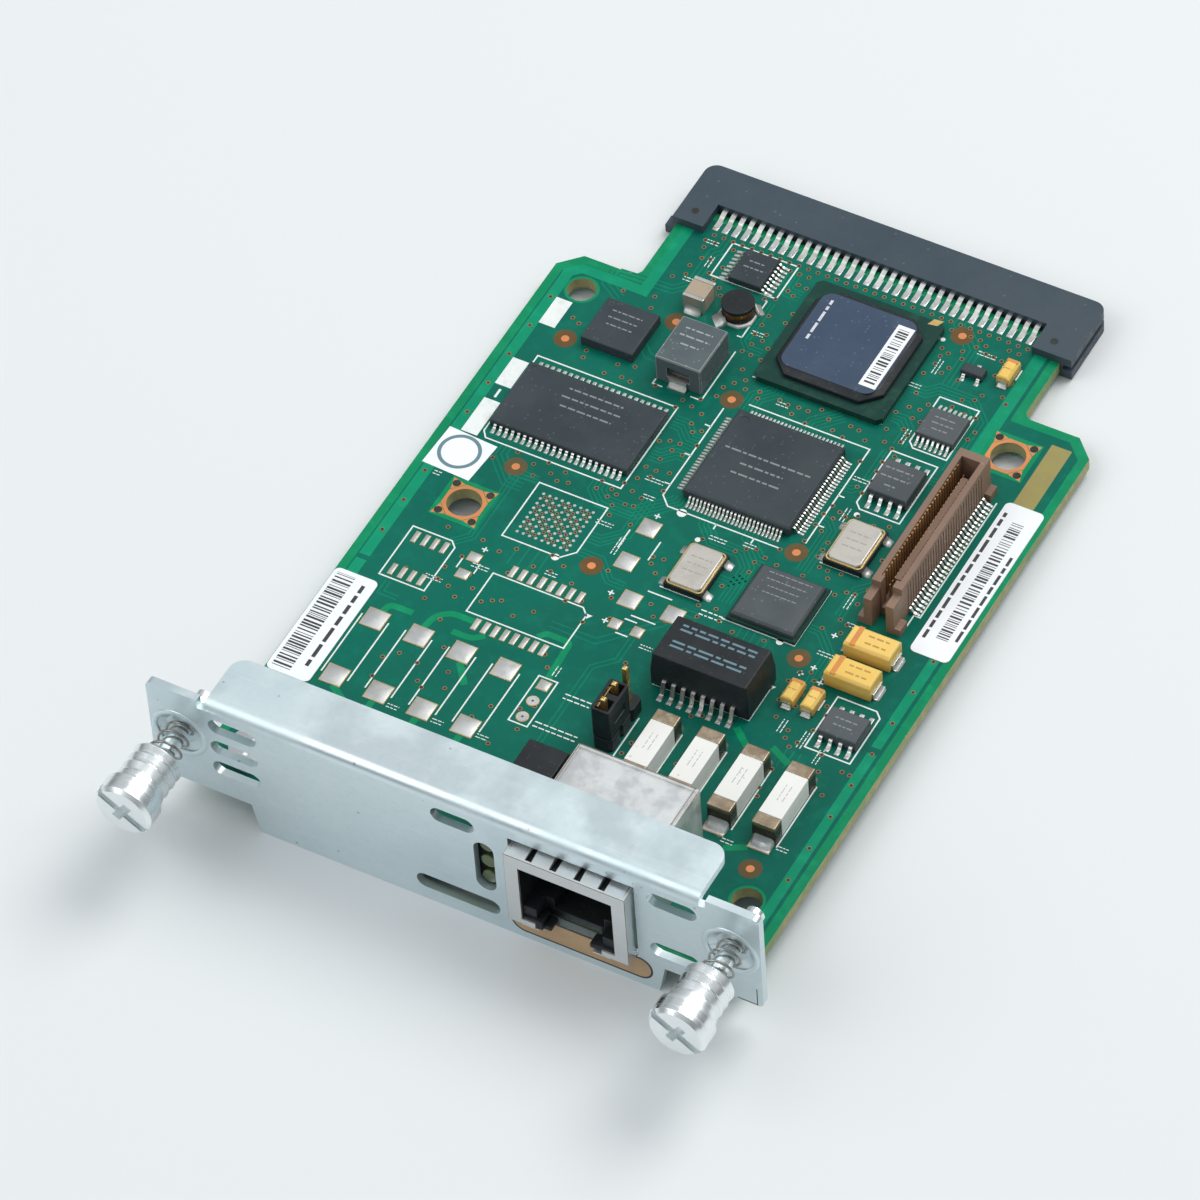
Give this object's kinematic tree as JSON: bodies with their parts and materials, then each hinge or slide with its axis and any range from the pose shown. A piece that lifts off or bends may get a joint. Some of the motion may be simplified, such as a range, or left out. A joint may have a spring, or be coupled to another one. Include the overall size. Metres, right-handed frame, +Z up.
{
  "type": "voice wan interface card",
  "caption": "Plug-in circuit card with a vented metal front bracket, captive thumbscrews, a modular jack, status lamps, soldered chips and a rear edge connector.",
  "frame": {"origin": "on the floor under the middle of the whole card", "axes": "+X along the front bracket, to the right seen from the front; +Y from the thumbscrews to the edge connector; +Z up from the board's component side"},
  "size_m": [0.0784, 0.1224, 0.0198],
  "materials": {
    "board": "dark green solder mask over glass fibre, gold and tin pads",
    "bracket_zinc": "folded sheet, bright bluish zinc plating",
    "screw_zinc": "zinc plated pan heads",
    "knob_nickel": "turned, satin nickel plating",
    "spring_steel": "drawn spring wire",
    "shield_tin": "thin tin plated sheet",
    "black_plastic": "moulded, fine matt grain",
    "lens": "clear tinted lamp tip",
    "edge_plastic": "moulded, blue-grey",
    "slot_plastic": "moulded, taupe",
    "contact_tin": "tin plated leads, matt",
    "contact_gold": "gold plated",
    "clip_copper": "bare copper alloy strip",
    "chip_black": "moulded epoxy, fine matt grain, blank top",
    "chip_base": "thin laminate carrier",
    "ferrite": "dark grey ferrite",
    "winding": "lacquered copper wire",
    "white_plastic": "moulded base",
    "ceramic_tan": "fired ceramic",
    "ceramic_white": "fired ceramic",
    "tantalum_yellow": "moulded, orange polarity stripe",
    "lid_metal": "welded lid",
    "label_paper": "blank white sticker"
  },
  "bodies": {
    "card": {"printed_board": "board", "front_bracket": "bracket_zinc", "bracket_screws": "screw_zinc", "jack_shield": "shield_tin", "jack_insert": "black_plastic", "jack_contacts": "contact_gold", "lamp_block": "black_plastic", "lamp_lenses": "lens", "edge_connector_housing": "edge_plastic", "edge_connector_contacts": "contact_tin", "mezzanine_housing": "slot_plastic", "mezzanine_contacts": "contact_gold", "header_base": "black_plastic", "header_pins": "contact_gold", "processor_body": "chip_black", "processor_leads": "contact_tin", "memory_body": "chip_black", "memory_leads": "contact_tin", "framer_base": "chip_base", "framer_cap": "chip_black", "line_chip_base": "chip_base", "line_chip_cap": "chip_black", "regulator_chip": "chip_black", "buffer_chip": "chip_black", "logic_chip": "chip_black", "fine_chip_leads": "contact_tin", "flash_chip": "chip_black", "monitor_chip": "chip_black", "transistor_body": "chip_black", "small_chip_leads": "contact_tin", "power_inductor": "ferrite", "power_inductor_clips": "contact_tin", "drum_inductor_core": "ferrite", "drum_inductor_winding": "winding", "drum_inductor_base": "white_plastic", "ceramic_capacitor": "ceramic_tan", "ceramic_capacitor_ends": "contact_tin", "large_tantalum_capacitors": "tantalum_yellow", "small_tantalum_capacitors": "tantalum_yellow", "tantalum_terminals": "contact_tin", "oscillator_base_1": "ceramic_white", "oscillator_base_2": "ceramic_white", "oscillator_lid_1": "lid_metal", "oscillator_lid_2": "lid_metal", "transformer_body": "black_plastic", "transformer_leads": "contact_tin", "fuse_1": "ceramic_white", "fuse_2": "ceramic_white", "fuse_3": "ceramic_white", "fuse_4": "ceramic_white", "fuse_caps": "contact_tin", "left_label": "label_paper", "right_label": "label_paper", "under_chips": "ceramic_tan"},
    "spring_carrier_left": {"spring_left": "spring_steel"},
    "thumbscrew_left": {"thumbscrew_left": "knob_nickel"},
    "spring_carrier_right": {"spring_right": "spring_steel"},
    "thumbscrew_right": {"thumbscrew_right": "knob_nickel"},
    "shunt": {"jumper_shunt": "black_plastic", "shunt_clip": "clip_copper"}
  },
  "joints": [
    {"name": "thumbscrew_left_press", "type": "slide", "parent": "card", "child": "spring_carrier_left", "axis": [0, 1, 0], "range_m": [0, 0.0032], "stiffness_N_per_m": 200, "springref_m": -0.002, "deforming": ["spring_left"]},
    {"name": "thumbscrew_left_turn", "type": "hinge", "parent": "spring_carrier_left", "child": "thumbscrew_left", "pos_m": [-0.0354, -0.04832, 0.0126], "axis": [0, 1, 0], "continuous": true},
    {"name": "thumbscrew_right_press", "type": "slide", "parent": "card", "child": "spring_carrier_right", "axis": [0, 1, 0], "range_m": [0, 0.0032], "stiffness_N_per_m": 200, "springref_m": -0.002, "deforming": ["spring_right"]},
    {"name": "thumbscrew_right_turn", "type": "hinge", "parent": "spring_carrier_right", "child": "thumbscrew_right", "pos_m": [0.0354, -0.04832, 0.0126], "axis": [0, 1, 0], "continuous": true},
    {"name": "jumper_lift", "type": "slide", "parent": "card", "child": "shunt", "axis": [0, 0, 1], "range_m": [0, 0.006]}
  ]
}
